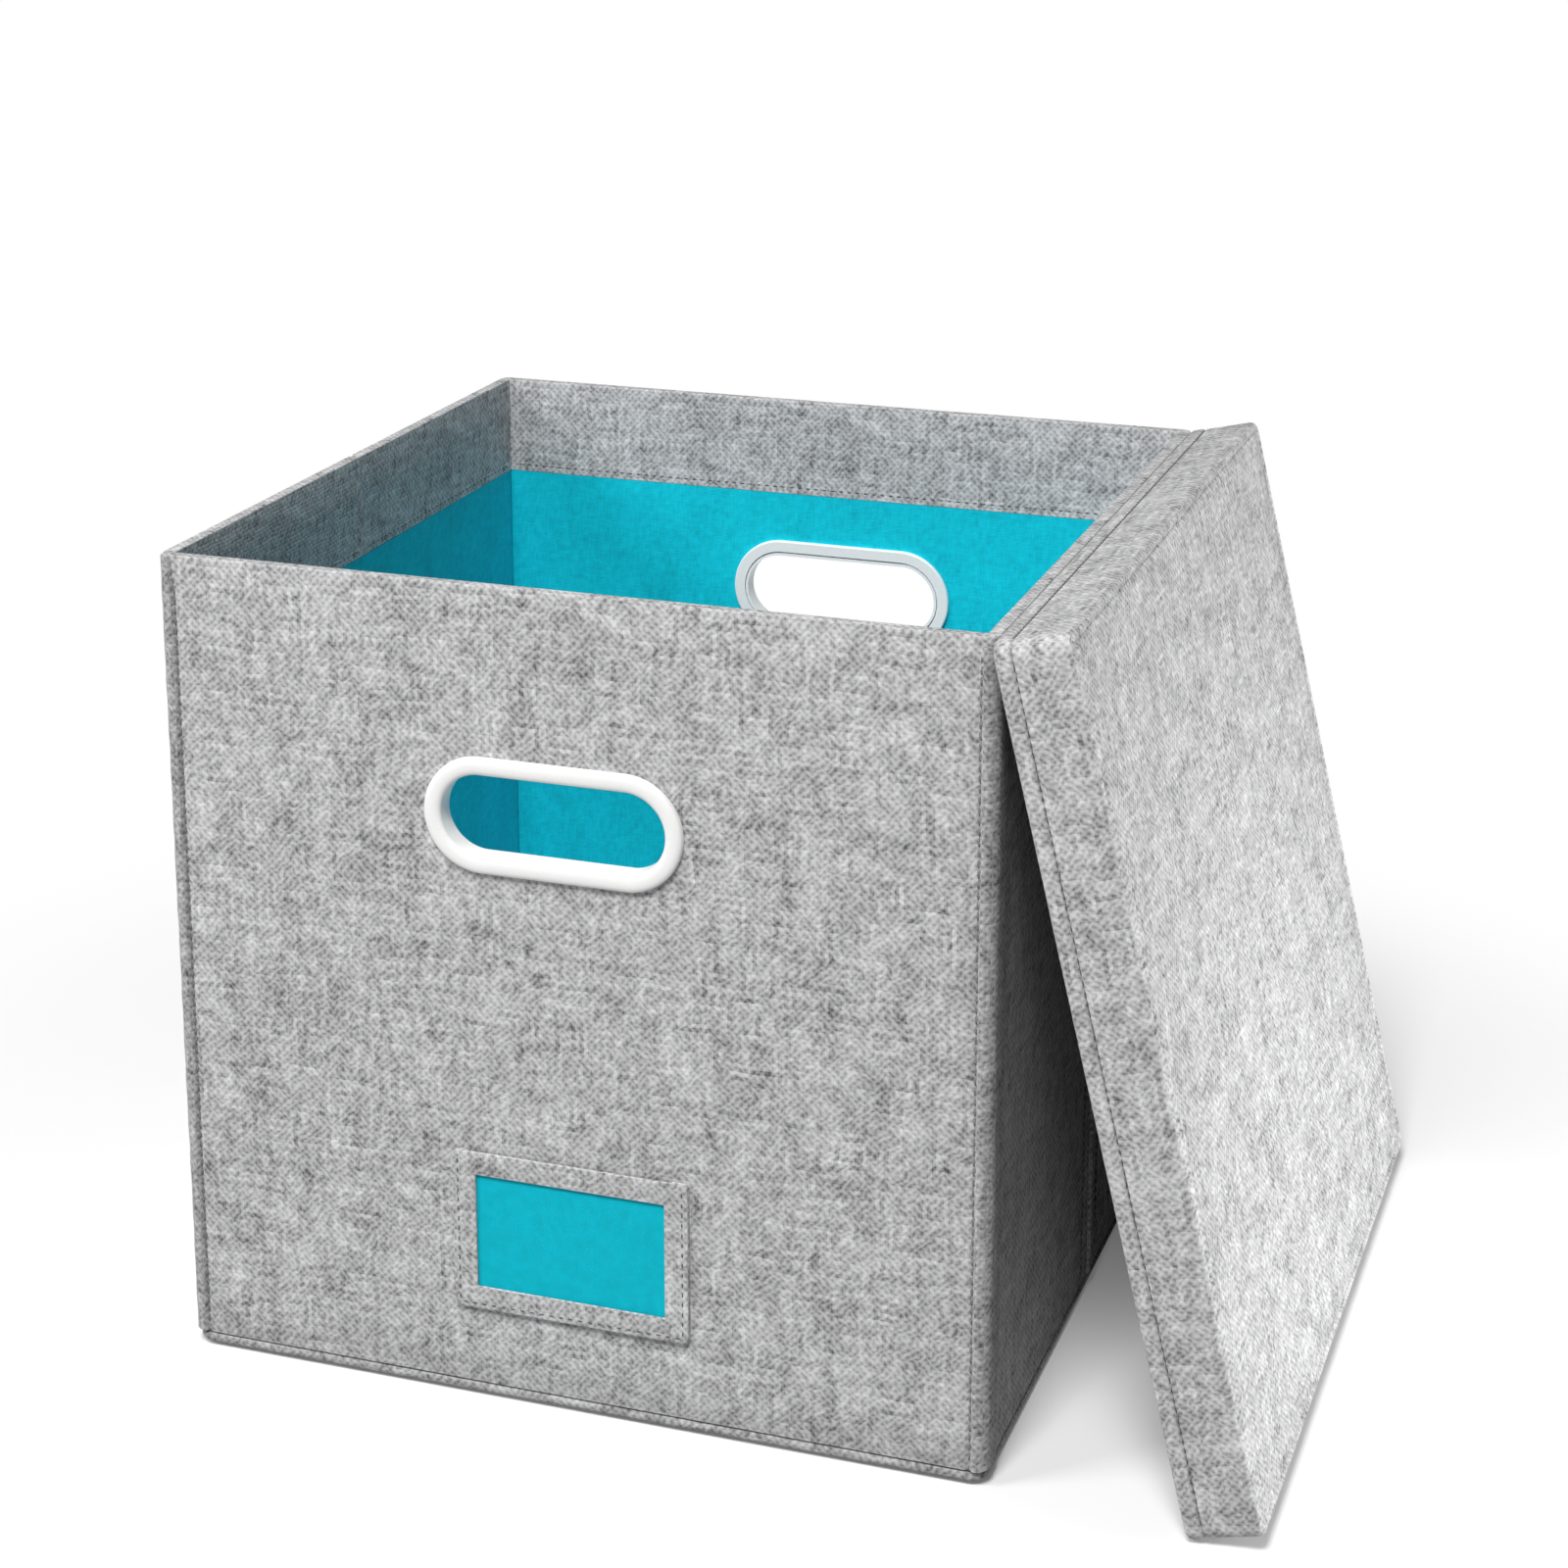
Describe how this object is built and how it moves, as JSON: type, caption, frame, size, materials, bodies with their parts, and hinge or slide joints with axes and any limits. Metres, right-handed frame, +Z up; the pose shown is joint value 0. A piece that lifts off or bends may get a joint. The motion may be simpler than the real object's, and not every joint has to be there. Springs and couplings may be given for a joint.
{
  "type": "record storage box",
  "caption": "Linen-covered folding storage box with hand holes, a label pocket, a lift-out base and a loose lift-off lid leaning on its side.",
  "frame": {"origin": "centre of the box's underside, on the floor; the leaning lid stands beside it at +X", "axes": "+Z up, the front with the label pocket towards -Y, the lid on the +X side"},
  "size_m": [0.4515, 0.3495, 0.349],
  "materials": {
    "linen": "grey heather linen weave, matt",
    "turquoise_lining": "plain turquoise lining cloth, matt",
    "board": "stiff grey paperboard",
    "backing": "dark grey non-woven sheet, matt",
    "grip_plastic": "glossy white moulded plastic",
    "film": "clear soft film",
    "card": "plain turquoise card"
  },
  "bodies": {
    "front_wall": {"front_wall_cover": "linen", "front_wall_board": "board", "front_wall_lining": "turquoise_lining", "front_grip_ring": "grip_plastic", "front_grip_clip": "grip_plastic", "front_left_corner_strip": "linen", "front_right_corner_strip": "linen", "label_pocket": "linen", "label_film": "film", "bottom_cloth": "linen"},
    "right_front_half": {"right_front_half_cover": "linen", "right_front_half_board": "board", "right_front_half_lining": "turquoise_lining"},
    "right_rear_half": {"right_rear_half_cover": "linen", "right_rear_half_board": "board", "right_rear_half_lining": "turquoise_lining"},
    "back_wall": {"back_wall_cover": "linen", "back_wall_board": "board", "back_wall_lining": "turquoise_lining", "back_grip_ring": "grip_plastic", "back_grip_clip": "grip_plastic", "back_left_corner_strip": "linen", "back_right_corner_strip": "linen"},
    "left_front_half": {"left_front_half_cover": "linen", "left_front_half_board": "board", "left_front_half_lining": "turquoise_lining"},
    "left_rear_half": {"left_rear_half_cover": "linen", "left_rear_half_board": "board", "left_rear_half_lining": "turquoise_lining"},
    "base_insert": {"base_cover": "linen", "base_board": "board", "base_backing": "backing"},
    "label_card": {"label_card": "card"},
    "lid": {"lid_cover": "linen", "lid_hem": "linen", "lid_lining": "backing", "lid_plate_board": "board", "lid_skirt_board_front": "board", "lid_skirt_board_rear": "board", "lid_skirt_board_upper": "board", "lid_skirt_board_lower": "board"}
  },
  "joints": [
    {"name": "side_fold", "type": "hinge", "parent": "front_wall", "child": "right_front_half", "pos_m": [0.1647, -0.1625, 0], "axis": [0, 0, 1], "range_deg": [0, 88]},
    {"name": "right_crease_fold", "type": "hinge", "parent": "right_front_half", "child": "right_rear_half", "pos_m": [0.17, 0, 0], "axis": [0, 0, 1], "range_deg": [-176, 0]},
    {"name": "back_wall_fold", "type": "hinge", "parent": "right_rear_half", "child": "back_wall", "pos_m": [0.1647, 0.1625, 0], "axis": [0, 0, 1], "range_deg": [0, 88]},
    {"name": "left_side_fold", "type": "hinge", "parent": "front_wall", "child": "left_front_half", "pos_m": [-0.1647, -0.1625, 0], "axis": [0, 0, 1], "range_deg": [-88, 0]},
    {"name": "left_crease_fold", "type": "hinge", "parent": "left_front_half", "child": "left_rear_half", "pos_m": [-0.17, 0, 0], "axis": [0, 0, 1], "range_deg": [0, 176]},
    {"name": "base_lift", "type": "slide", "parent": "front_wall", "child": "base_insert", "axis": [0, 0, 1], "range_m": [0, 0.36]},
    {"name": "card_slide", "type": "slide", "parent": "front_wall", "child": "label_card", "axis": [0, 0, 1], "range_m": [0, 0.064]},
    {"name": "lid_tip", "type": "hinge", "parent": "front_wall", "child": "lid", "pos_m": [0.27628, -0.006, 0.005], "axis": [0, 1, 0], "range_deg": [0, 103.4]}
  ],
  "couplings": [
    {"joint": "right_crease_fold", "follows": "side_fold", "ratio": -2},
    {"joint": "back_wall_fold", "follows": "side_fold", "ratio": 1},
    {"joint": "left_side_fold", "follows": "side_fold", "ratio": -1},
    {"joint": "left_crease_fold", "follows": "side_fold", "ratio": 2}
  ]
}
